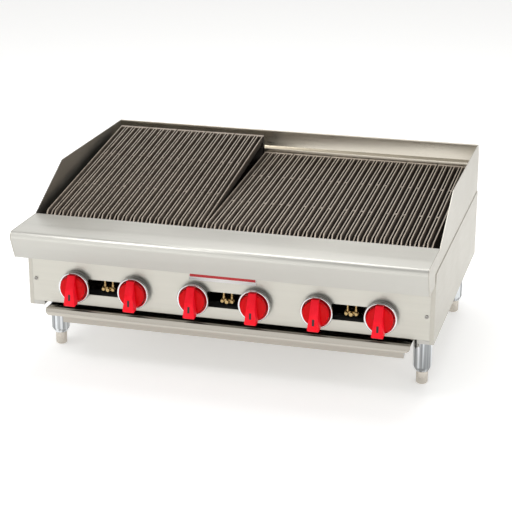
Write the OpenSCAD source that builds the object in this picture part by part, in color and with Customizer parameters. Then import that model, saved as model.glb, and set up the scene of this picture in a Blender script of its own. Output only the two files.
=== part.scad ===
// Countertop radiant gas charbroiler: six burners under two banks of cast grates,
// a bullnose plate ledge, splash guards, a slide-out drip tray and four levelling legs.
// Origin: on the counter under the middle of the bounding box. +X right, +Y back, +Z up.

/* [Body] */
// width over the side panels
body_width = 914; // [760:1:1100]
// depth of the side panels, front to back
body_depth = 615; // [540:1:800]
// height of the side panels' lower edge above the counter
body_bottom = 124; // [100:1:150]
// height of the seam between side panel and splash guard
seam_height = 283; // [240:1:300]
// thickness of the stainless sheet
sheet = 1.5; // [1:0.1:2.5]
// width of the side panels' front flange
front_flange = 9.5; // [6:0.5:20]

/* [Plate ledge] */
// height of the ledge's top
ledge_height = 322; // [300:1:350]
// distance from the control panel forward to where the ledge starts to bend
ledge_overhang = 80; // [60:1:130]
// outside radius of the bullnose
nose_radius = 12; // [8:1:20]
// height of the bullnose from top to lower edge
nose_drop = 63; // [45:1:75]
// how far the lower edge lies back from the bend
nose_lean = 8; // [4:1:20]
// how far the ledge reaches behind the control panel
ledge_rear = 48; // [25:1:70]

/* [Splash guards] */
// height of the splash guards' and backsplash's top
splash_height = 403; // [350:1:450]
// where the sloped front edge meets the top, behind the control panel
splash_bend = 208; // [120:1:300]
// distance from the backsplash face to the back of the body
splash_back = 15; // [10:1:60]
// how far the splash guards' top drops over that distance
splash_drop = 26.5; // [10:0.5:60]
// depth of the step ledge in front of the backsplash face
step_depth = 28; // [15:1:40]
// height of the step ledge
step_height = 363; // [340:1:380]
// height of the step ledge's front face
step_face = 10; // [6:0.5:16]

/* [Control panel] */
// height of the control panel's lower edge
panel_bottom = 133; // [112:1:158]
// height of the knob axes
knob_height = 177; // [172:1:190]
// distance from the panel's end to the first knob's axis
knob_margin = 103; // [70:0.5:130]
// width of the pilot windows
window_width = 88; // [50:1:90]
// height of the pilot windows
window_height = 36; // [20:1:44]
// radius of the red knob face
knob_radius = 29; // [22:0.5:31]
// radius of the chrome bezel's base
bezel_radius = 36; // [33:0.5:42]
// depth of the bezel
bezel_depth = 17; // [8:0.5:20]
// radius of the valve stem
stem_radius = 4; // [3:0.1:5]
// width of the badge
badge_width = 150; // [80:1:240]
// height of the badge
badge_height = 25; // [15:0.5:35]
// how far the badge sits left of the middle
badge_shift = 5; // [-100:1:100]
// height of the badge's lower edge above the knob axes
badge_rise = 41; // [38:0.5:52]

/* [Grates] */
// width of the slot between neighbouring bars
slot_width = 4.3; // [3:0.1:6]
// gap between the plate ledge and the front of the castings
grate_front_gap = 5; // [3:0.5:12]
// gap between the back of the castings and the step ledge
grate_rear_gap = 7; // [4:0.5:12]
// gap between neighbouring castings
casting_gap = 2.4; // [1:0.1:4]
// length of the castings' sloping front ends
ramp_length = 22; // [15:0.5:30]
// how far the front ends slope down
ramp_drop = 13; // [8:0.5:14]
// height of a bar
bar_height = 22; // [18:0.5:26]
// slope of the flat sections
flat_slope = 3.9; // [1:0.1:5]
// slope of the raised sections
raised_slope = 8.8; // [6:0.1:9.5]
// gap between the outer grates and the splash guards
grate_side_gap = 14; // [6:0.5:25]

/* [Drip tray] */
// distance from the side panels' outside to the pan
pan_inset = 73; // [70:0.5:150]
// height of the pan's floor
pan_floor = 76.3; // [60:1:90]
// thickness of the tray's sheet
tray_sheet = 1.2; // [0.8:0.1:2]
// length of the sloped front lip
lip_length = 15; // [12:0.5:22]
// slope of the front lip
lip_angle = 72; // [40:1:80]
// distance from the control panel forward to the lip's fold
lip_reach = 21; // [10:1:40]
// distance from the side panels' outside to the lip's ends
lip_inset = 46; // [40:0.5:120]

/* [Legs] */
// radius of the leg tube
leg_radius = 20.9; // [16:0.1:25.2]
// distance from the side panels' outside to the leg axes
leg_inset = 35.5; // [35:0.5:60]
// distance of the front legs behind the control panel
front_leg_y = 83; // [60:1:160]
// distance of the rear legs from the back of the body
rear_leg_inset = 87; // [60:1:160]
// radius of the levelling foot
foot_radius = 13; // [9:0.5:14]
// height of the foot when screwed right in
foot_height = 29; // [20:0.1:35]
// radius of the foot's screw
screw_radius = 8; // [5:0.5:9]

/* [Gas train] */
// outside radius of the manifold pipe
pipe_radius = 13.35; // [10.65:0.05:16.7]
// bore radius of the manifold pipe
pipe_bore = 10.5; // [8:0.1:13]
// height of the manifold pipe's axis
pipe_height = 145; // [144.4:0.1:146.5]
// how far the inlet pipe stands out of the back
inlet_out = 22; // [20:1:40]
// length of the inlet pipe's turned end for the supply fitting
inlet_end = 18; // [12:1:19]
// radius of the inlet pipe's turned end
inlet_end_radius = 13.1; // [10.4:0.05:16.4]
// outside radius of a burner tube
burner_radius = 16; // [12:0.5:18]
// running clearance of a stem or screw in its bore
running_gap = 0.05; // [0.02:0.01:0.1]

/* [Hidden] */
$fn = 48;
burner_count = 6;
half = body_width/2;
splash_out = half - sheet;
inner = splash_out - sheet - 0.1;
panel_half = half - front_flange;
ledge_reach = ledge_overhang + nose_radius;
front_y = -(body_depth + inlet_out - ledge_reach)/2;
knob_pitch = (2*panel_half - 2*knob_margin)/(burner_count - 1);
splash_face = body_depth - splash_back;
slope_z = splash_height - splash_drop;
step_front = splash_face - step_depth;
bar_counts = [4, 4, 4, 4, 4, 4, 5, 5, 5, 4, 4];
bar_total = 47;
raised_count = 5;
bar_pitch = 2*(inner - grate_side_gap)/bar_total;
bar_top = bar_pitch - slot_width;
grate_y = ledge_rear + grate_front_gap;
grate_length = step_front - grate_rear_gap - grate_y;
rail_front = grate_y + 16;
rail_back = rail_front + 26.5;
rail_top = ledge_height - 22.7;
foot_depth = bar_height + 2;
heel_depth = bar_height + 6;
firebox_half = inner - 18;
firebox_front = rail_back;
firebox_back = step_front - 39.5;
firebox_bottom = pipe_height + pipe_radius + 1.2;
firebox_top = rail_top - 5;
manifold_y = 40;
inlet_x = knob_pitch*2.5 + 36;
web_z = body_bottom + sheet;
leg_spread = half - leg_inset;
rear_leg_y = body_depth - rear_leg_inset;
web_inner = leg_spread - leg_radius - 2;
pan_half = half - pan_inset;
lip_half = half - lip_inset;
front_web = lip_half + 11;
rail_floor = body_bottom - 2;
tray_top = rail_floor + sheet + 0.2 + tray_sheet;
pan_front = 24;
pan_back = body_depth - 38;
lip_y = -lip_reach;
radiant_z = knob_height + burner_radius + 20;
pilot_z = radiant_z - 6;
seam_tuck = 15;

function knob_x(i) = (i - (burner_count + 1)/2)*knob_pitch;
function bars_before(i) = i <= 1 ? 0 : bars_before(i - 1) + bar_counts[i - 2];
function slope_of(i) = i <= raised_count ? raised_slope : flat_slope;
// distance along a casting to where its underside meets the front rail's edge
function rest_at(a) = (rail_front - grate_y - foot_depth*sin(a))/cos(a);
function grate_z(a) = rail_top + 0.1 + foot_depth*cos(a) - rest_at(a)*sin(a);
function heel_z(a) = grate_z(a) + (grate_length - 12)*sin(a) - heel_depth*cos(a) - 0.1;

// draws a front-to-back profile (y, z) and stretches it sideways from x0 to x1
module across(x0, x1) {
  translate([x0, front_y, 0]) rotate([90, 0, 90]) linear_extrude(x1 - x0) children();
}

module box(a, b) {
  translate([a[0], front_y + a[1], a[2]]) cube([b[0] - a[0], b[1] - a[1], b[2] - a[2]]);
}

// rod along Y from y0 to y1 on the axis (x, z)
module rod_y(x, z, y0, y1, r) {
  translate([x, front_y + y0, z]) rotate([-90, 0, 0]) cylinder(r = r, h = y1 - y0);
}

// rod along X from x0 to x1 on the axis (y, z)
module rod_x(y, z, x0, x1, r) {
  translate([x0, front_y + y, z]) rotate([0, 90, 0]) cylinder(r = r, h = x1 - x0);
}

module rod_z(x, y, z0, z1, r) {
  translate([x, front_y + y, z0]) cylinder(r = r, h = z1 - z0);
}

module at_legs() {
  for (x = [-leg_spread, leg_spread], y = [front_leg_y, rear_leg_y])
    translate([x, front_y + y, 0]) children();
}

// ---- plate ledge and splash guards ----
// angle of the bullnose face's tangent point, seen from the bend's centre
nose_v = [nose_lean, nose_radius - nose_drop];
nose_angle = atan2(nose_v[1], nose_v[0]) - acos(nose_radius/norm(nose_v));
nose_normal = [cos(nose_angle), sin(nose_angle)];
nose_centre = [-ledge_overhang, ledge_height - nose_radius];
nose_foot = [nose_lean - ledge_overhang, ledge_height - nose_drop];

// front part of the bend, between the ledge's top and its face
module nose_wedge(r) {
  intersection() {
    circle(r = r);
    polygon([[0, 0], [0, 2*r], [-3*r, 2*r], 3*r*nose_normal]);
  }
}

module front_ledge() {
  p = nose_centre + nose_radius*nose_normal;
  q = nose_centre + (nose_radius - sheet)*nose_normal;
  d = nose_foot - p;
  color([0.86, 0.86, 0.83]) {
    across(-inner, inner) translate(nose_centre) difference() {
      nose_wedge(nose_radius);
      circle(r = nose_radius - sheet);
    }
    across(-inner, inner) polygon([p, nose_foot, q + d*(nose_foot[1] - q[1])/d[1], q]);
    box([-inner, nose_foot[0], nose_foot[1]], [inner, nose_foot[0] + 18, nose_foot[1] + sheet]);
    box([-inner, -ledge_overhang, ledge_height - sheet], [inner, ledge_rear, ledge_height]);
    box([-inner, ledge_rear - sheet, ledge_height - 40], [inner, ledge_rear, ledge_height]);
  }
}

module splash_guard() {
  across(inner + 0.1, splash_out) translate(nose_centre) nose_wedge(nose_radius);
  across(inner + 0.1, splash_out)
    polygon([nose_centre + [0, nose_radius], [0.5, ledge_height], [0.5, nose_foot[1]], nose_foot,
             nose_centre + nose_radius*nose_normal, nose_centre]);
  across(inner + 0.1, splash_out)
    polygon([[0, nose_foot[1]], [0, ledge_height], [ledge_rear, ledge_height],
             [splash_bend, splash_height], [splash_face, splash_height],
             [body_depth, slope_z], [body_depth, seam_height + 0.1],
             [body_depth - 2, seam_height + 0.1], [body_depth - 2, seam_height - seam_tuck],
             [sheet, seam_height - seam_tuck],
             [sheet, nose_foot[1]]]);
}

module left_splash_guard() {
  color([0.8, 0.79, 0.75]) mirror([1, 0, 0]) splash_guard();
}

module right_splash_guard() {
  color([0.8, 0.79, 0.75]) splash_guard();
}

module side_panel() {
  box([splash_out, 0, body_bottom], [half, body_depth, seam_height]);
  box([panel_half + 0.2, 0, body_bottom], [half, sheet, nose_foot[1] - 0.5]);
  box([half - 10, 0, body_bottom], [half, body_depth, body_bottom + sheet]);
  box([half - 18, body_depth - sheet, body_bottom], [half, body_depth, seam_height]);
}

module left_side_panel() {
  color([0.82, 0.81, 0.77]) mirror([1, 0, 0]) side_panel();
}

module right_side_panel() {
  color([0.82, 0.81, 0.77]) side_panel();
}

module backsplash() {
  color([0.66, 0.64, 0.6]) across(-inner, inner) {
    translate([splash_face - sheet, step_height - sheet])
      square([sheet, splash_height - step_height + sheet]);
    translate([splash_face - 5, splash_height - 1.2]) square([5, 1.2]);
    translate([splash_face - 5, splash_height - 4]) square([1.2, 4]);
    translate([step_front, step_height - sheet]) square([step_depth, sheet]);
    translate([step_front, step_height - step_face]) square([sheet, step_face]);
    translate([step_front, step_height - step_face]) square([8, 1.2]);
  }
}

module back_panel() {
  color([0.75, 0.74, 0.7]) difference() {
    across(-inner, inner) {
      translate([body_depth - 2*sheet, web_z + 0.2]) square([sheet, slope_z - web_z - 0.2]);
      polygon([[body_depth - 2*sheet, slope_z - 1], [body_depth - sheet, slope_z - 1],
               [splash_face + 2, splash_height - 1], [splash_face + 0.5, splash_height - 1]]);
    }
    rod_y(inlet_x, pipe_height, body_depth - 10, body_depth + 5, pipe_radius + 1);
    for (x = [-5:1:5])
      box([x*60 - 20, body_depth - 10, 290], [x*60 + 20, body_depth + 5, 298]);
  }
}

// ---- base ----
module base_frame() {
  color([0.7, 0.69, 0.66]) difference() {
    union() {
      for (s = [0, 1]) mirror([s, 0, 0]) {
        box([web_inner + 0.3, 30, web_z], [splash_out, body_depth - 2*sheet, web_z + 2]);
        box([front_web, sheet + 0.1, web_z], [splash_out, 30, web_z + 2]);
        box([front_web, 0, body_bottom], [panel_half, sheet, panel_bottom - 0.2]);
        box([front_web, sheet - 0.1, web_z], [panel_half, 3, panel_bottom - 0.2]);
        box([front_web, sheet + 0.1, web_z], [splash_out - 0.2, 3, panel_bottom + 18]);
      }
      box([0.2 - splash_out, 2.8, panel_bottom + sheet + 0.5],
          [splash_out - 0.2, 22, panel_bottom + sheet + 2.5]);
      box([-splash_out, body_depth - 30, web_z], [splash_out, body_depth - 2*sheet, web_z + 2]);
      box([-splash_out, body_depth - 30, web_z], [splash_out, body_depth - 28, web_z + 5]);
    }
    at_legs() cylinder(r = 6.1, h = body_bottom + 20);
  }
}

module tray_rail() {
  across_y0 = 26;
  box([pan_half + 2, across_y0, rail_floor], [web_inner, body_depth - 31, rail_floor + sheet]);
  box([web_inner - sheet, across_y0, rail_floor], [web_inner, body_depth - 31, web_z + 2]);
  box([web_inner - sheet, across_y0 + 5, web_z + 2],
      [web_inner + 11, body_depth - 31, web_z + 2 + sheet]);
}

module left_tray_rail() {
  color([0.6, 0.6, 0.58]) mirror([1, 0, 0]) tray_rail();
}

module right_tray_rail() {
  color([0.6, 0.6, 0.58]) tray_rail();
}

module legs() {
  color([0.85, 0.87, 0.88]) at_legs() difference() {
    union() {
      translate([0, 0, foot_height + 12.3])
        cylinder(r = leg_radius, h = web_z - foot_height - 12.3);
      translate([0, 0, foot_height + 0.3])
        cylinder(r1 = foot_radius + 1.2, r2 = leg_radius, h = 12);
      cylinder(r = 6, h = web_z + 11);
    }
    translate([0, 0, -1]) cylinder(r = screw_radius + running_gap, h = web_z - 17);
  }
}

module leg_nuts() {
  color([0.75, 0.75, 0.73]) at_legs() translate([0, 0, web_z + 2]) difference() {
    cylinder(r = 11, h = 8, $fn = 6);
    translate([0, 0, -1]) cylinder(r = 6.05, h = 12);
  }
}

module foot() {
  cylinder(r1 = foot_radius - 2.5, r2 = foot_radius, h = 3);
  translate([0, 0, 3]) cylinder(r = foot_radius, h = foot_height - 3);
  cylinder(r = screw_radius, h = web_z - 28);
}

module foot_at(x, y) {
  color([0.6, 0.58, 0.54]) translate([x, front_y + y, 0]) foot();
}

module front_left_foot() { foot_at(-leg_spread, front_leg_y); }
module front_right_foot() { foot_at(leg_spread, front_leg_y); }
module rear_left_foot() { foot_at(-leg_spread, rear_leg_y); }
module rear_right_foot() { foot_at(leg_spread, rear_leg_y); }

// ---- control panel ----
module control_panel() {
  color([0.85, 0.84, 0.8]) difference() {
    union() {
      box([-panel_half, 0, panel_bottom], [panel_half, sheet, nose_foot[1] + 8]);
      box([-inner, 0, nose_foot[1] + 6.5], [inner, 16, nose_foot[1] + 8]);
      box([-front_web, 0, panel_bottom], [front_web, 12, panel_bottom + sheet]);
    }
    for (i = [1:burner_count]) rod_y(knob_x(i), knob_height, -1, 5, 7);
    for (i = [1.5:2:5.5])
      box([knob_x(i) - window_width/2, -1, knob_height - window_height/2],
          [knob_x(i) + window_width/2, 5, knob_height + window_height/2]);
    for (x = [7.5 - panel_half, panel_half - 7.5])
      rod_y(x, knob_height + 9, -1, 5, 2.2);
  }
}

module nameplate() {
  z = knob_height + badge_rise;
  color([0.8, 0.1, 0.1])
    box([-badge_width/2 - badge_shift, -1, z], [badge_width/2 - badge_shift, 0, z + badge_height]);
}

module panel_screws() {
  color([0.8, 0.8, 0.8]) for (x = [7.5 - panel_half, panel_half - 7.5]) difference() {
    union() {
      rod_y(x, knob_height + 9, -1.2, 0, 4.5);
      rod_y(x, knob_height + 9, -2.4, -1.1, 3.4);
      rod_y(x, knob_height + 9, -2, 3, 2.1);
    }
    box([x - 2.4, -3, knob_height + 8.5], [x + 2.4, -1.2, knob_height + 9.5]);
    box([x - 0.5, -3, knob_height + 6.6], [x + 0.5, -1.2, knob_height + 11.4]);
  }
}

module knob_bezels() {
  color([0.85, 0.87, 0.88]) for (i = [1:burner_count])
    translate([knob_x(i), front_y, knob_height]) rotate([90, 0, 0]) rotate_extrude($fn = 64)
      polygon([[knob_radius + 3.4, 0], [bezel_radius, 0], [bezel_radius, bezel_depth - 3],
               [bezel_radius - 0.4, bezel_depth - 1.4], [bezel_radius - 1.2, bezel_depth - 0.4],
               [bezel_radius - 2.2, bezel_depth], [knob_radius + 1.6, bezel_depth - 1],
               [knob_radius + 1, bezel_depth - 2], [knob_radius + 1, bezel_depth - 5],
               [knob_radius + 3.4, bezel_depth - 6]]);
}

module knob(i) {
  r = knob_radius;
  back = bezel_depth - 4;
  rim = bezel_depth + 1;
  face = bezel_depth + 8;
  color([0.82, 0.02, 0.05]) difference() {
    union() {
      rod_y(knob_x(i), knob_height, -back, -3, 11);
      rod_y(knob_x(i), knob_height, 2 - face, -back, r);
      translate([knob_x(i), front_y - face + 2, knob_height]) rotate([90, 0, 0])
        cylinder(r1 = r, r2 = r - 2, h = 2);
      intersection() {
        translate([knob_x(i) - 20, front_y, knob_height]) rotate([90, 0, 90]) linear_extrude(40)
          polygon([[-rim, r + 5], [1 - face, r + 5], [-face - 2, r + 4], [-face - 15.5, 5],
                   [-face - 17, 1], [-face - 20, -r - 1], [-face - 19.5, -r - 3],
                   [-face - 18, -r - 4.5], [-face - 15.5, -r - 5], [-face - 3, -r - 2],
                   [-face, 2 - r], [-rim, 3 - r]]);
        translate([knob_x(i), front_y, knob_height]) rotate([90, 0, 0]) linear_extrude(80)
          polygon([[-7, r + 6], [7, r + 6], [8.5, r + 3], [9.5, 0], [13, -r - 1],
                   [12.4, -r - 3.2], [10, -r - 6], [-10, -r - 6], [-12.4, -r - 3.2],
                   [-13, -r - 1], [-9.5, 0], [-8.5, r + 3]]);
      }
    }
    rod_y(knob_x(i), knob_height, -back - 8, 0, stem_radius);
  }
}

module stem(i) {
  color([0.75, 0.75, 0.72]) {
    rod_y(knob_x(i), knob_height, 4 - bezel_depth - 8, 22, stem_radius);
    rod_y(knob_x(i), knob_height, 4, 6, stem_radius + 2);
  }
}

module knob_1() { knob(1); }
module knob_2() { knob(2); }
module knob_3() { knob(3); }
module knob_4() { knob(4); }
module knob_5() { knob(5); }
module knob_6() { knob(6); }
module stem_1() { stem(1); }
module stem_2() { stem(2); }
module stem_3() { stem(3); }
module stem_4() { stem(4); }
module stem_5() { stem(5); }
module stem_6() { stem(6); }

// ---- gas train ----
module valve_bodies() {
  color([0.75, 0.6, 0.3]) for (i = [1:burner_count]) difference() {
    union() {
      rod_y(knob_x(i), knob_height, 8, 50, 10);
      rod_y(knob_x(i), knob_height, 50, 66, 6);
      rod_z(knob_x(i), manifold_y, pipe_height + pipe_bore + 0.5, knob_height, 6);
      translate([knob_x(i), front_y + manifold_y, pipe_height + pipe_radius + 1])
        cylinder(r = 10, h = 7, $fn = 6);
    }
    rod_y(knob_x(i), knob_height, 7, 23, stem_radius + running_gap);
    rod_y(knob_x(i), knob_height, 40, 68, 1.2);
  }
}

module manifold() {
  color([0.3, 0.3, 0.3]) difference() {
    rod_x(manifold_y, pipe_height, knob_x(1) - 35, inlet_x - 15, pipe_radius);
    rod_x(manifold_y, pipe_height, knob_x(1) - 30, inlet_x, pipe_bore);
    for (i = [1:burner_count])
      rod_z(knob_x(i), manifold_y, pipe_height, pipe_height + 20, 6.02);
    for (i = [1.5:2:5.5]) rod_z(knob_x(i), manifold_y, pipe_height, pipe_height + 20, 4.02);
  }
}

module gas_inlet() {
  color([0.3, 0.3, 0.3]) difference() {
    union() {
      translate([inlet_x, front_y + manifold_y, pipe_height]) sphere(r = pipe_radius + 4);
      rod_x(manifold_y, pipe_height, inlet_x - 24, inlet_x, pipe_radius + 4);
      rod_y(inlet_x, pipe_height, manifold_y, manifold_y + 24, pipe_radius + 4);
      rod_y(inlet_x, pipe_height, manifold_y, body_depth + inlet_out - inlet_end, pipe_radius);
      rod_y(inlet_x, pipe_height, body_depth, body_depth + inlet_out, inlet_end_radius);
    }
    rod_x(manifold_y, pipe_height, inlet_x - 25, inlet_x - 15, pipe_radius + 0.02);
    rod_x(manifold_y, pipe_height, inlet_x - 16, inlet_x, pipe_bore);
    rod_y(inlet_x, pipe_height, manifold_y, body_depth + inlet_out + 1, pipe_bore);
  }
}

module pilot_valves() {
  color([0.8, 0.64, 0.32]) for (i = [1.5:2:5.5]) {
    x = knob_x(i);
    rod_z(x, manifold_y, pipe_height + pipe_bore + 0.5, knob_height - 6, 4);
    box([x - 6, 20, knob_height - 12], [x + 6, manifold_y + 5, knob_height - 4]);
    rod_x(24, knob_height - 8, x - 15, x + 15, 4.6);
    rod_y(x, knob_height - 8, 12, 20, 4);
    for (s = [-1, 1]) {
      rod_y(x + s*11, knob_height - 8, 15, 24, 3.4);
      rod_z(x + s*9.4, 24, knob_height - 8, pilot_z - 14, 3);
      rod_z(x + s*9.4, 24, knob_height - 3, knob_height + 3, 4.2);
    }
  }
}

module pilot_tubes() {
  color([0.8, 0.8, 0.78]) for (i = [1.5:2:5.5], s = [-1, 1]) {
    x = knob_x(i) + s*9.4;
    rod_z(x, 24, pilot_z - 14, pilot_z - 10, 2.6);
    translate([x, front_y + 34, pilot_z - 10]) rotate([90, 0, -90])
      rotate_extrude(angle = 90) translate([10, 0]) circle(r = 2.6);
    rod_y(x, pilot_z, 34, firebox_front + 22, 2.6);
    rod_y(x, pilot_z, firebox_front + 22, firebox_front + 36, 4.5);
  }
}

module burners() {
  ports = 12;
  span = firebox_back - firebox_front - 60;
  color([0.35, 0.33, 0.31]) for (i = [1:burner_count]) difference() {
    rod_y(knob_x(i), knob_height, 70, firebox_back + 8, burner_radius);
    rod_y(knob_x(i), knob_height, 68, firebox_back + 4, burner_radius - 2.5);
    for (k = [0:ports - 1])
      box([knob_x(i) - burner_radius, firebox_front + 30 + k*span/(ports - 1), knob_height + 6],
          [knob_x(i) + burner_radius, firebox_front + 32 + k*span/(ports - 1), knob_height + 9]);
  }
}

module radiants() {
  w = min(54, knob_pitch/2 - 15);
  y0 = firebox_front + 4;
  y1 = firebox_back - 4;
  color([0.36, 0.34, 0.32]) for (i = [1:burner_count]) {
    translate([knob_x(i), front_y + y1, radiant_z]) rotate([90, 0, 0]) linear_extrude(y1 - y0)
      polygon([[-w, 0], [4.5 - w, 0], [0, w*0.8], [w - 4.5, 0], [w, 0], [0, w*0.8 + 4]]);
    for (y = [y0 + 60:80:y1 - 40])
      box([knob_x(i) - 3, y, radiant_z + w*0.8 - 2], [knob_x(i) + 3, y + 6, radiant_z + w*0.8 + 9]);
  }
}

module firebox() {
  color([0.45, 0.42, 0.38]) difference() {
    union() {
      difference() {
        box([-firebox_half, firebox_front, firebox_bottom],
            [firebox_half, firebox_back, firebox_top]);
        box([sheet - firebox_half, firebox_front + sheet, firebox_bottom - 1],
            [firebox_half - sheet, firebox_back - sheet, firebox_top + 1]);
      }
      box([-firebox_half, firebox_front + 1, radiant_z - 2],
          [firebox_half, firebox_front + 14, radiant_z - 0.1]);
      box([-firebox_half, firebox_back - 14, radiant_z - 2],
          [firebox_half, firebox_back - 1, radiant_z - 0.1]);
    }
    for (i = [1:burner_count])
      rod_y(knob_x(i), knob_height, 60, firebox_back + 10, burner_radius + 0.1);
    for (i = [1.5:2:5.5], s = [-1, 1])
      rod_y(knob_x(i) + s*9.4, pilot_z, firebox_front - 5, firebox_front + 30, 4.8);
  }
}

// ---- grate supports ----
module front_grate_rail() {
  y = ledge_rear + 2;
  color([0.4, 0.37, 0.34]) across(-inner, inner) {
    translate([rail_front, rail_top - sheet]) square([rail_back - rail_front, sheet]);
    translate([rail_back - sheet, rail_top - 27]) square([sheet, 27]);
    translate([rail_front, rail_top - 21]) square([sheet, 21]);
    translate([y, rail_top - 21]) square([rail_front - y + sheet, sheet]);
    translate([y, rail_top - 21]) square([sheet, 15]);
  }
}

module rear_grate_rail() {
  top = heel_z(flat_slope);
  color([0.4, 0.37, 0.34]) across(-inner, inner) {
    translate([firebox_back, top - sheet]) square([step_front - 2 - firebox_back, sheet]);
    translate([firebox_back, top - 52]) square([sheet, 52]);
  }
}

module raised_grate_rest() {
  low = heel_z(flat_slope);
  top = heel_z(raised_slope);
  split = bars_before(raised_count + 1)*bar_pitch - inner + grate_side_gap;
  color([0.4, 0.37, 0.34]) across(-inner, split - 2) {
    translate([step_front - 26, top - sheet]) square([22, sheet]);
    translate([step_front - 26, low]) square([sheet, top - low]);
    translate([step_front - 4 - sheet, low]) square([sheet, top - low]);
  }
}

// ---- grates: cast bars with a grease channel along each ----
module bar(x) {
  w = bar_top/2;
  h = bar_height;
  translate([x, grate_length - 6, 0]) rotate([90, 0, 0]) linear_extrude(grate_length - 6)
    polygon([[-w, 0], [2.3 - w, 0], [-w*0.22, -h*0.68], [w*0.22, -h*0.68], [w - 2.3, 0],
             [w, 0], [w*0.62, -h], [-w*0.62, -h]]);
}

module grate(i) {
  a = slope_of(i);
  n = bar_counts[i - 1];
  x0 = bars_before(i)*bar_pitch - inner + grate_side_gap;
  h = bar_height;
  edge = casting_gap/2;
  width = n*bar_pitch - casting_gap;
  color([0.42, 0.38, 0.34]) translate([x0, front_y + grate_y, grate_z(a)]) rotate([a, 0, 0]) {
    difference() {
      union() for (k = [0:n - 1]) bar((k + 0.5)*bar_pitch);
      translate([-1, 0, 0]) rotate([90, 0, 90]) linear_extrude(n*bar_pitch + 2)
        polygon([[-1, -ramp_drop], [0, -ramp_drop], [ramp_length, 0], [ramp_length, 1], [-1, 1]]);
    }
    for (k = [1:1:n - 1], s = [grate_length/3, grate_length*2/3])
      translate([k*bar_pitch - slot_width/2 - 1.5, s - 3.5, -h*0.55])
        cube([slot_width + 3, 7, h*0.55 - 0.8]);
    for (s = [grate_length/3, grate_length*2/3])
      translate([slot_width/2 + 2.5, s - 4, -h - 1])
        cube([n*bar_pitch - slot_width - 5, 8, h*0.3]);
    translate([edge, 4, -foot_depth]) cube([width, 30, foot_depth - h*0.7]);
    translate([edge, 3, -foot_depth]) cube([width, 5, foot_depth - ramp_drop + 0.8]);
    translate([edge, grate_length - 12, -heel_depth]) cube([width, 12, heel_depth - h*0.7]);
    translate([edge, grate_length - 8, -heel_depth]) cube([width, 8, heel_depth - 0.6]);
  }
}

module grate_1() { grate(1); }
module grate_2() { grate(2); }
module grate_3() { grate(3); }
module grate_4() { grate(4); }
module grate_5() { grate(5); }
module grate_6() { grate(6); }
module grate_7() { grate(7); }
module grate_8() { grate(8); }
module grate_9() { grate(9); }
module grate_10() { grate(10); }
module grate_11() { grate(11); }

// ---- drip tray ----
module drip_tray() {
  t = tray_sheet;
  corner = 10;
  fold = 55;
  ear = 6;
  a = lip_angle;
  tip = [lip_y - lip_length*cos(a), tray_top - lip_length*sin(a)];
  color([0.72, 0.71, 0.68]) {
    difference() {
      box([-pan_half, pan_front, pan_floor], [pan_half, pan_back, tray_top]);
      box([t - pan_half, pan_front + t, pan_floor + t], [pan_half - t, pan_back - t, tray_top + 1]);
    }
    for (s = [0, 1]) mirror([s, 0, 0]) {
      box([pan_half - t, pan_front, tray_top - t], [web_inner - sheet - 1, pan_back, tray_top]);
      box([pan_half - t, pan_front, pan_floor], [pan_half + ear, pan_front + t, rail_floor - 0.3]);
      box([pan_half + ear - t, pan_front, pan_floor],
          [pan_half + ear, pan_front + 15, rail_floor - 0.3]);
      rod_y(pan_half + ear/2, pan_floor + 24, pan_front - 1, pan_front + 0.1, 2);
    }
    intersection() {
      across(-lip_half, lip_half)
        polygon([[pan_front + t/2, tray_top], [lip_y, tray_top], tip,
                 tip + t*[sin(a), -cos(a)], [lip_y + t*(1 - cos(a))/sin(a), tray_top - t],
                 [pan_front + t/2, tray_top - t]]);
      translate([0, front_y + lip_y, tray_top]) rotate([a, 0, 0]) translate([0, 0, 5 - fold])
        linear_extrude(fold) {
          translate([-lip_half, corner - lip_length])
            square([2*lip_half, lip_length - corner + fold]);
          translate([corner - lip_half, -lip_length])
            square([2*lip_half - 2*corner, lip_length]);
          for (x = [corner - lip_half, lip_half - corner])
            translate([x, corner - lip_length]) circle(r = corner);
        }
    }
  }
}

base_frame();
left_side_panel();
right_side_panel();
left_splash_guard();
right_splash_guard();
back_panel();
backsplash();
front_ledge();
control_panel();
nameplate();
panel_screws();
firebox();
front_grate_rail();
rear_grate_rail();
raised_grate_rest();
left_tray_rail();
right_tray_rail();
manifold();
gas_inlet();
valve_bodies();
pilot_valves();
pilot_tubes();
burners();
radiants();
knob_bezels();
knob_1();
knob_2();
knob_3();
knob_4();
knob_5();
knob_6();
stem_1();
stem_2();
stem_3();
stem_4();
stem_5();
stem_6();
grate_1();
grate_2();
grate_3();
grate_4();
grate_5();
grate_6();
grate_7();
grate_8();
grate_9();
grate_10();
grate_11();
drip_tray();
legs();
leg_nuts();
front_left_foot();
front_right_foot();
rear_left_foot();
rear_right_foot();
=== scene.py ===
import bpy
import math
from mathutils import Matrix, Vector


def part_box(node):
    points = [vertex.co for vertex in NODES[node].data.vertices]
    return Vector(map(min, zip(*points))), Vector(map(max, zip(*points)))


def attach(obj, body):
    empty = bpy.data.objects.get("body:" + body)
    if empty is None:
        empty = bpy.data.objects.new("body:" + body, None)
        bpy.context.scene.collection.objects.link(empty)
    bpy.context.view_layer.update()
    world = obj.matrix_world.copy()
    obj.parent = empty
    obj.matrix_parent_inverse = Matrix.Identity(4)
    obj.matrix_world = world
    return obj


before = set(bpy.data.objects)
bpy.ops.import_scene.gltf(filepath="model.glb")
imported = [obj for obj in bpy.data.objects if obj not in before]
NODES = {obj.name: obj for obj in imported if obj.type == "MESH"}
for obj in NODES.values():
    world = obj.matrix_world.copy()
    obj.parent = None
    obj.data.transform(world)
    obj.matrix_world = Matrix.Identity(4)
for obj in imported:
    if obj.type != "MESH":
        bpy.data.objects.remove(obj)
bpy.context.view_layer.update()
scene = bpy.context.scene


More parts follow.
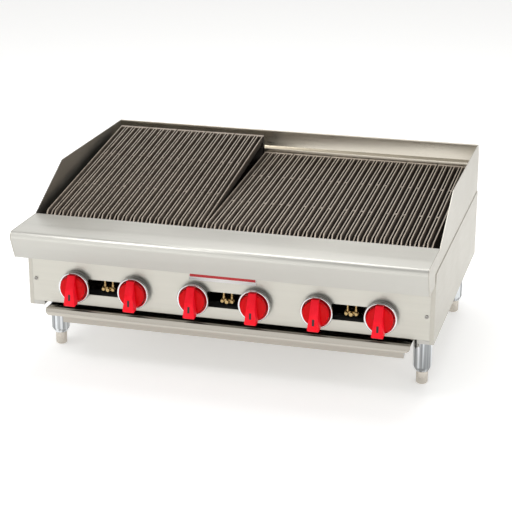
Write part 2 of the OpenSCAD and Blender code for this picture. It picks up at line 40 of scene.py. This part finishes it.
# ---------------------------------------------------------------- node helpers
class Mat:
    """A Principled material with short calls for its procedural nodes."""

    def __init__(self, name, color, metallic=0.0, roughness=0.5, **sockets):
        self.m = bpy.data.materials.new(name)
        self.m.use_nodes = True
        self.t = self.m.node_tree
        self.b = self.t.nodes["Principled BSDF"]
        self.b.inputs["Base Color"].default_value = (*color, 1)
        self.b.inputs["Metallic"].default_value = metallic
        self.b.inputs["Roughness"].default_value = roughness
        for k, v in sockets.items():
            self.b.inputs[k.replace("_", " ")].default_value = v
        self.coord = self.t.nodes.new("ShaderNodeTexCoord").outputs["Object"]

    def put(self, socket, v):
        if hasattr(v, "is_output"):
            self.t.links.new(v, socket)
        else:
            socket.default_value = v

    def math(self, op, a, b=0.0):
        n = self.t.nodes.new("ShaderNodeMath")
        n.operation = op
        for i, v in enumerate((a, b)):
            self.put(n.inputs[i], v)
        return n.outputs[0]

    def stretched(self, scale):
        """Object coordinates with their own scale on each axis."""
        n = self.t.nodes.new("ShaderNodeMapping")
        self.put(n.inputs["Vector"], self.coord)
        n.inputs["Scale"].default_value = scale
        return n.outputs[0]

    def noise(self, scale, detail, rough, vector=None, distortion=0.0):
        n = self.t.nodes.new("ShaderNodeTexNoise")
        self.put(n.inputs["Vector"], vector or self.coord)
        n.inputs["Scale"].default_value = scale
        n.inputs["Detail"].default_value = detail
        n.inputs["Roughness"].default_value = rough
        n.inputs["Distortion"].default_value = distortion
        return n.outputs["Fac"]

    def remap(self, v, a, b, c, d, smooth=False):
        """Takes the range a..b to c..d, clamped."""
        n = self.t.nodes.new("ShaderNodeMapRange")
        n.interpolation_type = "SMOOTHSTEP" if smooth else "LINEAR"
        for i, x in enumerate((v, a, b, c, d)):
            self.put(n.inputs[i], x)
        return n.outputs[0]

    def mix(self, fac, a, b):
        """Colour a where fac is 0 and colour b where it is 1."""
        n = self.t.nodes.new("ShaderNodeMix")
        n.data_type = "RGBA"
        self.put(n.inputs[0], fac)
        for i, x in ((6, a), (7, b)):
            self.put(n.inputs[i], (*x, 1) if isinstance(x, tuple) else x)
        return n.outputs[2]

    def color(self, v):
        self.put(self.b.inputs["Base Color"], v)

    def rough(self, v):
        self.put(self.b.inputs["Roughness"], v)

    def bump(self, height, strength, distance, normal=None):
        n = self.t.nodes.new("ShaderNodeBump")
        n.inputs["Strength"].default_value = strength
        n.inputs["Distance"].default_value = distance
        self.put(n.inputs["Height"], height)
        if normal is not None:
            self.put(n.inputs["Normal"], normal)
        self.put(self.b.inputs["Normal"], n.outputs[0])
        return n.outputs[0]

    def axis(self, i):
        """Object coordinate X, Y or Z, for i of 0, 1 or 2."""
        n = self.t.nodes.new("ShaderNodeSeparateXYZ")
        self.put(n.inputs[0], self.coord)
        return n.outputs[i]


def shade(color, factor):
    return tuple(c * factor for c in color)


def brushed(name, color, grain, rough, metallic=1.0, painted_shade_top=None):
    """Sheet steel with grain along one axis: fine scratches, soft streaks, faint smudges.

    Below the fold height, where it is given, the sheet is coloured darker: painted shade.
    """
    m = Mat(name, color, metallic)
    fine = tuple(14.0 if a == grain else 1500.0 for a in "xyz")
    wide = tuple(2.0 if a == grain else 160.0 for a in "xyz")
    scratch = m.noise(1.0, 3, 0.7, m.stretched(fine))
    streak = m.noise(1.0, 2, 0.5, m.stretched(wide))
    smudge = m.noise(7.0, 4, 0.6, distortion=0.6)
    r = m.math("ADD", m.remap(scratch, 0.3, 0.7, *rough), m.remap(smudge, 0.4, 0.75, 0, 0.06))
    m.rough(m.math("ADD", r, m.remap(streak, 0.3, 0.7, -0.02, 0.02)))
    tone = m.mix(m.remap(streak, 0.35, 0.65, 0, 1), shade(color, 0.97), color)
    if painted_shade_top is not None:
        # painted shade: below the fold the sheet is coloured darker
        painted_shade_below = m.remap(m.axis(2), painted_shade_top - 0.004, painted_shade_top + 0.002, 1, 0, True)
        tone = m.mix(painted_shade_below, tone, shade(color, FOLD_PAINTED_SHADE))
    m.color(tone)
    waviness = m.bump(m.noise(5.0, 1, 0.4), 0.003, 0.02)
    m.bump(scratch, 0.05, 0.0002, waviness)
    return m.m


def cast_iron(name, slope=None, ref=None, lattice=None):
    """Seasoned casting: pitted skin, darker the deeper below the top plane, slot walls coloured
    near black as painted shadow, rims scraped bright and lightened as a painted highlight.

    slope is the top plane's angle, ref a point (y, z) at its front, and lattice the left end
    of the row of castings and the bars' pitch. Without slope the skin is plain.
    """
    m = Mat(name, (0.2, 0.16, 0.13), 0.35, 0.5)
    grit = m.noise(900.0, 4, 0.65)
    lump = m.noise(140.0, 3, 0.6)
    soot = m.noise(22.0, 4, 0.6, distortion=0.5)
    base = m.mix(m.remap(soot, 0.35, 0.7, 0, 1), (0.07, 0.051, 0.037), (0.155, 0.122, 0.094))
    if slope is None:
        m.rough(m.remap(grit, 0.3, 0.7, 0.45, 0.65))
    else:
        c, s = math.cos(slope), math.sin(slope)
        y = m.math("SUBTRACT", m.axis(1), ref[0])
        z = m.math("SUBTRACT", m.axis(2), ref[1])
        along = m.math("ADD", m.math("MULTIPLY", y, c), m.math("MULTIPLY", z, s))
        depth = m.math("SUBTRACT", m.math("MULTIPLY", z, c), m.math("MULTIPLY", y, s))
        # the rims follow the top plane, and the sloping front ends below it
        plane = m.remap(along, 0.0, RAMP_LENGTH, -RAMP_DROP, 0.0)
        depth = m.math("SUBTRACT", depth, plane)
        uneven_depth = m.math("ADD", depth, m.remap(lump, 0.3, 0.7, -0.0008, 0.0006))
        # darker the deeper below the top plane
        base = m.mix(m.remap(uneven_depth, -0.012, -0.002, 0, 1, True), DEEP_TONE, base)
        # the rims at the top plane are lighter: partly scraped bare, partly a painted highlight
        # where their tops catch the light
        rim_wear_and_highlight = m.remap(uneven_depth, -0.0016, -0.0002, 0, 1, True)
        base = m.mix(m.math("MULTIPLY", rim_wear_and_highlight, 0.85), base, RIM_WEAR_AND_HIGHLIGHT)
        # the cross piece at the back is scraped too, in specks
        rear = m.remap(along, BAR_LENGTH - 0.003, BAR_LENGTH, 0, 0.8)
        base = m.mix(m.math("MULTIPLY", rear, m.remap(grit, 0.4, 0.6, 0.2, 1)), base, RIM_WEAR_AND_HIGHLIGHT)
        # painted shadow: the slot walls between the bars are coloured near black
        across = m.math("SUBTRACT", m.axis(0), lattice[0])
        cell = m.math("FRACT", m.math("DIVIDE", across, lattice[1]))
        off_middle = m.math("ABSOLUTE", m.math("SUBTRACT", cell, 0.5))
        painted_shade_below = m.remap(uneven_depth, -0.0032, -0.0012, 1, 0)
        slot_painted_shadow = m.math("MULTIPLY", m.remap(off_middle, *BAR_WALL, 0, 1), painted_shade_below)
        base = m.mix(slot_painted_shadow, base, (0.006, 0.005, 0.004))
        m.rough(m.remap(rim_wear_and_highlight, 0, 1, 0.55, 0.36))
    m.color(base)
    n = m.bump(lump, 0.35, 0.0012)
    m.bump(grit, 0.4, 0.0004, n)
    return m.m


def plated(name, color, rough, reflection_streak_tone=None, dark_reflection_plane=None):
    """Bright metal. The streak tone, where given, colours dark streaks along the height as
    painted reflections; behind the given plane (y) the plating is coloured dark, a painted dark
    reflection."""
    m = Mat(name, color, 1.0)
    haze = m.noise(60.0, 4, 0.6)
    m.rough(m.remap(haze, 0.35, 0.7, *rough))
    tone = m.mix(m.remap(haze, 0.3, 0.7, 0, 1), shade(color, 0.95), color)
    if reflection_streak_tone is not None:
        # painted reflection: dark streaks along the height coloured into the plating
        painted_reflection_streaks = m.noise(1.0, 2, 0.6, m.stretched((95.0, 95.0, 1.5)))
        tone = m.mix(m.remap(painted_reflection_streaks, 0.40, 0.60, 0, 1, True), shade(color, reflection_streak_tone), tone)
    if dark_reflection_plane is not None:
        # painted dark reflection: behind the plane the plating is coloured near black
        dark_reflection_mask = m.remap(m.axis(1), dark_reflection_plane - 0.001, dark_reflection_plane + 0.001, 0, 1)
        tone = m.mix(dark_reflection_mask, tone, (0.10, 0.10, 0.105))
    m.color(tone)
    m.bump(m.noise(25.0, 2, 0.5), 0.03, 0.001)
    return m.m


def skin(name, color, metallic, rough, grain=400.0, height=0.0003, vary=0.8):
    """Painted, moulded or oxidised surface with fine texture and uneven tone."""
    m = Mat(name, color, metallic, rough)
    fine = m.noise(grain, 4, 0.6)
    tone = m.noise(18.0, 4, 0.6, distortion=0.4)
    m.color(m.mix(m.remap(tone, 0.35, 0.7, 0, 1), shade(color, vary), color))
    m.rough(m.remap(fine, 0.3, 0.7, rough - 0.06, rough + 0.08))
    m.bump(fine, 0.25, height)
    return m.m


def moulded_red():
    """Glossy moulding of one red; the grip that stands in front of the disc is coloured lighter
    and the disc darker, as painted light and shade.
    """
    m = Mat("red_moulding", (0.78, 0.0, 0.004), 0.0, 0.3, Coat_Weight=0.04, Coat_Roughness=0.12,
            Specular_IOR_Level=0.1)
    tone = m.noise(45.0, 4, 0.6)
    fac = m.remap(tone, 0.3, 0.7, 0, 1)
    # the disc is coloured a darker red as painted shade and the grip a lighter red as painted
    # light
    disc_painted_shade = m.mix(fac, (0.60, 0.0, 0.002), (0.74, 0.0, 0.005))
    grip_painted_light = m.mix(fac, (0.92, 0.006, 0.018), (1.0, 0.014, 0.034))
    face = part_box("control_panel")[0].y - DISC_FACE
    m.color(m.mix(m.remap(m.axis(1), face - 0.0025, face - 0.0005, 1, 0), disc_painted_shade, grip_painted_light))
    m.rough(m.remap(tone, 0.3, 0.7, 0.26, 0.36))
    m.bump(m.noise(900.0, 3, 0.6), 0.12, 0.00015)
    return m.m


def casting_material(names, degrees, name):
    """The scraped-rim material, placed by the castings' own top plane and bar pitch."""
    a = math.radians(degrees)
    lo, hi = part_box(names[0])
    ref = (lo.y - RAMP_DROP * math.sin(a), hi.z - BAR_LENGTH * math.sin(a))
    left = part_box("grate_1")[0].x - EDGE
    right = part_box("grate_11")[1].x + EDGE
    return cast_iron(name, a, ref, (left, (right - left) / BAR_COUNT))


KNOBS = [f"knob_{i}" for i in range(1, 7)]
STEMS = [f"stem_{i}" for i in range(1, 7)]
RAISED = [f"grate_{i}" for i in range(1, 6)]
FLAT = [f"grate_{i}" for i in range(6, 12)]
# slopes of the two banks of castings, in degrees
RAISED_SLOPE, FLAT_SLOPE = 8.8, 3.9
# bars over all the castings, their length, and the sloping front end's drop and length
BAR_COUNT, BAR_LENGTH, RAMP_DROP, RAMP_LENGTH = 47, 0.506, 0.013, 0.022
# half the gap between neighbouring castings
EDGE = 0.0012
# where a bar's side wall, coloured near black as painted shadow, begins and ends, in pitches from
# the bar's middle
BAR_WALL = (0.375, 0.392)
# from the control panel forward to the face of a knob's disc
DISC_FACE = 0.025
# how far down the ledge's bend reaches, where its painted shade begins, and how deep the bezels'
# bright rim reaches before their painted dark reflection begins
BEND, BEZEL_RIM = 0.012, 0.0048
# tone of the painted shade on the ledge below its bend, and of the painted dark reflection
# streaks on the legs
FOLD_PAINTED_SHADE, LEG_REFLECTION_STREAKS = 0.83, 0.33

RIM_WEAR_AND_HIGHLIGHT = (0.46, 0.39, 0.32)
DEEP_TONE = (0.03, 0.022, 0.017)
# one stainless steel, toned per part to how brightly each sheet is lit, as painted light and
# shade: lighter on the ledge and backsplash, darker on the side panels, splash guards and tray
LEDGE_STEEL = (0.68, 0.67, 0.625)
PANEL_STEEL = (0.585, 0.57, 0.515)
M = {
    "ledge": brushed("ledge_steel", LEDGE_STEEL, "x", (0.36, 0.46), 0.85,
                     painted_shade_top=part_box("front_ledge")[1].z - BEND),
    "panel": brushed("panel_steel", PANEL_STEEL, "x", (0.28, 0.4)),
    "side": brushed("side_steel", (0.52, 0.50, 0.448), "y", (0.3, 0.42)),
    "back": brushed("backsplash_steel", (0.78, 0.73, 0.635), "x", (0.24, 0.34)),
    "mill": brushed("mill_steel", (0.55, 0.54, 0.51), "x", (0.35, 0.5)),
    "tray": brushed("tray_steel", (0.50, 0.47, 0.42), "x", (0.03, 0.07)),
    "raised": casting_material(RAISED, RAISED_SLOPE, "grate_iron_raised"),
    "flat": casting_material(FLAT, FLAT_SLOPE, "grate_iron_flat"),
    "burner": cast_iron("burner_iron"),
    "chrome": plated("chrome_plate", (0.80, 0.81, 0.83), (0.04, 0.09),
                     dark_reflection_plane=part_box("knob_bezels")[0].y + BEZEL_RIM),
    "leg": plated("leg_chrome", (0.82, 0.85, 0.88), (0.06, 0.12), reflection_streak_tone=LEG_REFLECTION_STREAKS),
    "nickel": plated("nickel_plate", (0.60, 0.56, 0.50), (0.22, 0.34)),
    "brass": plated("machined_brass", (0.55, 0.39, 0.18), (0.25, 0.38)),
    "tube": plated("drawn_tube", (0.75, 0.75, 0.74), (0.25, 0.35)),
    "screw": plated("zinc_screw", (0.36, 0.35, 0.33), (0.2, 0.3)),
    "pipe": skin("black_pipe", (0.03, 0.03, 0.032), 0.5, 0.5),
    "liner": skin("heat_stained_liner", (0.05, 0.042, 0.036), 0.7, 0.55, 250.0, 0.0004, 0.55),
    "red": moulded_red(),
    "mark": skin("black_print", (0.012, 0.011, 0.011), 0.0, 0.45),
    "badge": skin("badge_red", (0.60, 0.01, 0.014), 0.0, 0.3, 700.0, 0.0001, 0.9),
    "badge_rim": skin("badge_white", (0.86, 0.86, 0.85), 0.0, 0.3, 700.0, 0.0001, 0.97),
}


def dress(names, material, bevel=0.0, segments=2):
    """Gives CAD nodes a material and, with bevel, soft edges that catch the light."""
    for name in names:
        o = NODES[name]
        o.data.materials.clear()
        o.data.materials.append(M[material])
        if bevel:
            w = o.modifiers.new("weld", "WELD")
            w.merge_threshold = 0.00001
            b = o.modifiers.new("soft_edges", "BEVEL")
            b.width = bevel
            b.segments = segments
            b.limit_method = "ANGLE"
            b.angle_limit = math.radians(30)
            b.harden_normals = True
            o.data.shade_smooth()


dress(["front_ledge"], "ledge", 0.0004)
dress(["control_panel"], "panel")
dress(["left_side_panel", "right_side_panel", "left_splash_guard", "right_splash_guard"], "side")
dress(["backsplash"], "back", 0.0004)
dress(["base_frame", "back_panel", "left_tray_rail", "right_tray_rail"], "mill", 0.0003)
dress(["drip_tray"], "tray", 0.0004)
dress(RAISED, "raised", 0.0007)
dress(FLAT, "flat", 0.0007)
dress(["burners", "radiants"], "burner")
dress(["knob_bezels"], "chrome", 0.0003)
dress(["legs"], "leg", 0.0005)
dress([f"{end}_{side}_foot" for end in ("front", "rear") for side in ("left", "right")],
      "nickel", 0.0006)
dress(["valve_bodies", "pilot_valves"], "brass")
dress(STEMS, "brass")
dress(["pilot_tubes"], "tube")
dress(["manifold", "gas_inlet"], "pipe")
dress(["firebox", "front_grate_rail", "rear_grate_rail", "raised_grate_rest"], "liner", 0.0003)
dress(["panel_screws", "leg_nuts"], "screw", 0.0002)
dress(["nameplate"], "badge_rim", 0.0003)
dress(KNOBS, "red", 0.0016, 4)


# ---------------------------------------------------------------- small pieces
# a box's six faces, its corners in the order front four, then rear four, each going round
BOX_FACES = [(0, 3, 2, 1), (4, 5, 6, 7), (0, 1, 5, 4), (1, 2, 6, 5), (2, 3, 7, 6), (3, 0, 4, 7)]


def box_piece(name, front, rear, material, body, bevel=0.0):
    """A six-sided piece between two four-cornered outlines, riding a body."""
    me = bpy.data.meshes.new(name)
    me.from_pydata(front + rear, [], BOX_FACES)
    me.update()
    o = bpy.data.objects.new(name, me)
    scene.collection.objects.link(o)
    me.materials.append(M[material])
    if bevel:
        b = o.modifiers.new("soft_edges", "BEVEL")
        b.width = bevel
        b.segments = 3
    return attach(o, body)


def moved(outline, dy):
    return [(x, y + dy, z) for x, y, z in outline]


# plain enamel field on the badge, without any lettering, above a white band
BADGE_RIM, BADGE_BAND = 0.001, 0.008
lo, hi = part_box("nameplate")
x0, x1, z0, z1 = lo.x + BADGE_RIM, hi.x - BADGE_RIM, lo.z + BADGE_BAND, hi.z - BADGE_RIM
field = [(x0, lo.y, z1), (x1, lo.y, z1), (x1, lo.y, z0), (x0, lo.y, z0)]
box_piece("badge_field", moved(field, -0.0004), moved(field, 0.0002), "badge", "body", 0.0001)

# plain index bar printed on each grip, whose lower face leans back 3 mm over its 31 mm
GRIP_SLOPE, GRIP_END = 0.003 / 0.031, -0.030
INDEX_HALF, INDEX_TOP, INDEX_LOW = 0.0024, -0.006, -0.020
for i in range(1, 7):
    lo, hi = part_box(f"knob_{i}")
    x, z = (lo.x + hi.x) / 2, (lo.z + hi.z) / 2
    bar = [(x + dx, lo.y + GRIP_SLOPE * (dz - GRIP_END), z + dz)
           for dx, dz in ((-INDEX_HALF, INDEX_TOP), (INDEX_HALF, INDEX_TOP),
                          (INDEX_HALF, INDEX_LOW), (-INDEX_HALF, INDEX_LOW))]
    box_piece(f"index_{i}", moved(bar, -0.00015), moved(bar, 0.0004), "mark", f"knob_{i}_turning")


# ---------------------------------------------------------------- camera, floor, light
# width of the camera's sensor in millimetres, and how far it sees in metres
SENSOR, FARTHEST = 36, 50


def camera(pos, yaw, pitch, roll, lens):
    """Camera at pos; yaw turns it left of +Y, pitch tips it down, roll lifts its right side."""
    yaw, pitch, roll = (math.radians(a) for a in (yaw, pitch, roll))
    level = Vector((-math.sin(yaw), math.cos(yaw), 0))
    fwd = level * math.cos(pitch) - Vector((0, 0, math.sin(pitch)))
    right = Vector((math.cos(yaw), math.sin(yaw), 0))
    up = right.cross(fwd)
    r = right * math.cos(roll) + up * math.sin(roll)
    u = up * math.cos(roll) - right * math.sin(roll)
    data = bpy.data.cameras.new("camera")
    data.lens = lens
    data.sensor_width = SENSOR
    data.clip_end = FARTHEST
    o = bpy.data.objects.new("camera", data)
    o.matrix_world = Matrix.Translation(pos) @ Matrix((r, u, -fwd)).transposed().to_4x4()
    scene.collection.objects.link(o)
    scene.camera = o


def area(name, pos, target, size, watts):
    """Square soft light at pos, facing target."""
    d = bpy.data.lights.new(name, "AREA")
    d.shape = "SQUARE"
    d.size = size
    d.energy = watts
    o = bpy.data.objects.new(name, d)
    turn = (Vector(target) - Vector(pos)).to_track_quat("-Z", "Y").to_matrix().to_4x4()
    o.matrix_world = Matrix.Translation(pos) @ turn
    scene.collection.objects.link(o)


camera((0.8941, -3.2045, 1.3538), 15.70, 19.32, -0.02, 106.7)

# pale floor that glows a little, like a light table
FLOOR = 12
floor_mat = Mat("studio_floor", (0.9, 0.9, 0.895), 0.0, 0.8,
                Emission_Color=(1, 1, 1, 1), Emission_Strength=0.36)
floor_mat.bump(floor_mat.noise(120.0, 3, 0.5), 0.05, 0.0005)
me = bpy.data.meshes.new("floor")
me.from_pydata([(-FLOOR, -FLOOR, 0), (FLOOR, -FLOOR, 0), (FLOOR, FLOOR, 0), (-FLOOR, FLOOR, 0)],
               [], [(0, 1, 2, 3)])
floor = bpy.data.objects.new("floor", me)
me.materials.append(floor_mat.m)
scene.collection.objects.link(floor)

area("key", (-1.6, -1.4, 3.0), (0, 0, 0.2), 1.4, 30)
area("fill", (2.6, -1.6, 2.0), (0, 0, 0.2), 1.2, 7)
area("top", (0.1, 0.9, 3.0), (0, 0, 0.3), 2.2, 40)

# bright walls up to the first height, falling to a darker ceiling at the second
WALL_TOP, CEILING, WALL_LIGHT, CEILING_LIGHT = 0.48, 0.68, 1.02, 0.30
world = bpy.data.worlds.new("studio")
scene.world = world
world.use_nodes = True
tree = world.node_tree
sky = tree.nodes["Background"]
direction = tree.nodes.new("ShaderNodeTexCoord")
split = tree.nodes.new("ShaderNodeSeparateXYZ")
ramp = tree.nodes.new("ShaderNodeMapRange")
ramp.interpolation_type = "SMOOTHSTEP"
for i, v in enumerate((WALL_TOP, CEILING, WALL_LIGHT, CEILING_LIGHT), 1):
    ramp.inputs[i].default_value = v
tree.links.new(direction.outputs["Generated"], split.inputs[0])
tree.links.new(split.outputs[2], ramp.inputs[0])
tree.links.new(ramp.outputs[0], sky.inputs["Strength"])
sky.inputs["Color"].default_value = (1.0, 0.995, 0.98, 1)
scene.view_settings.view_transform = "Standard"
scene.view_settings.look = "None"
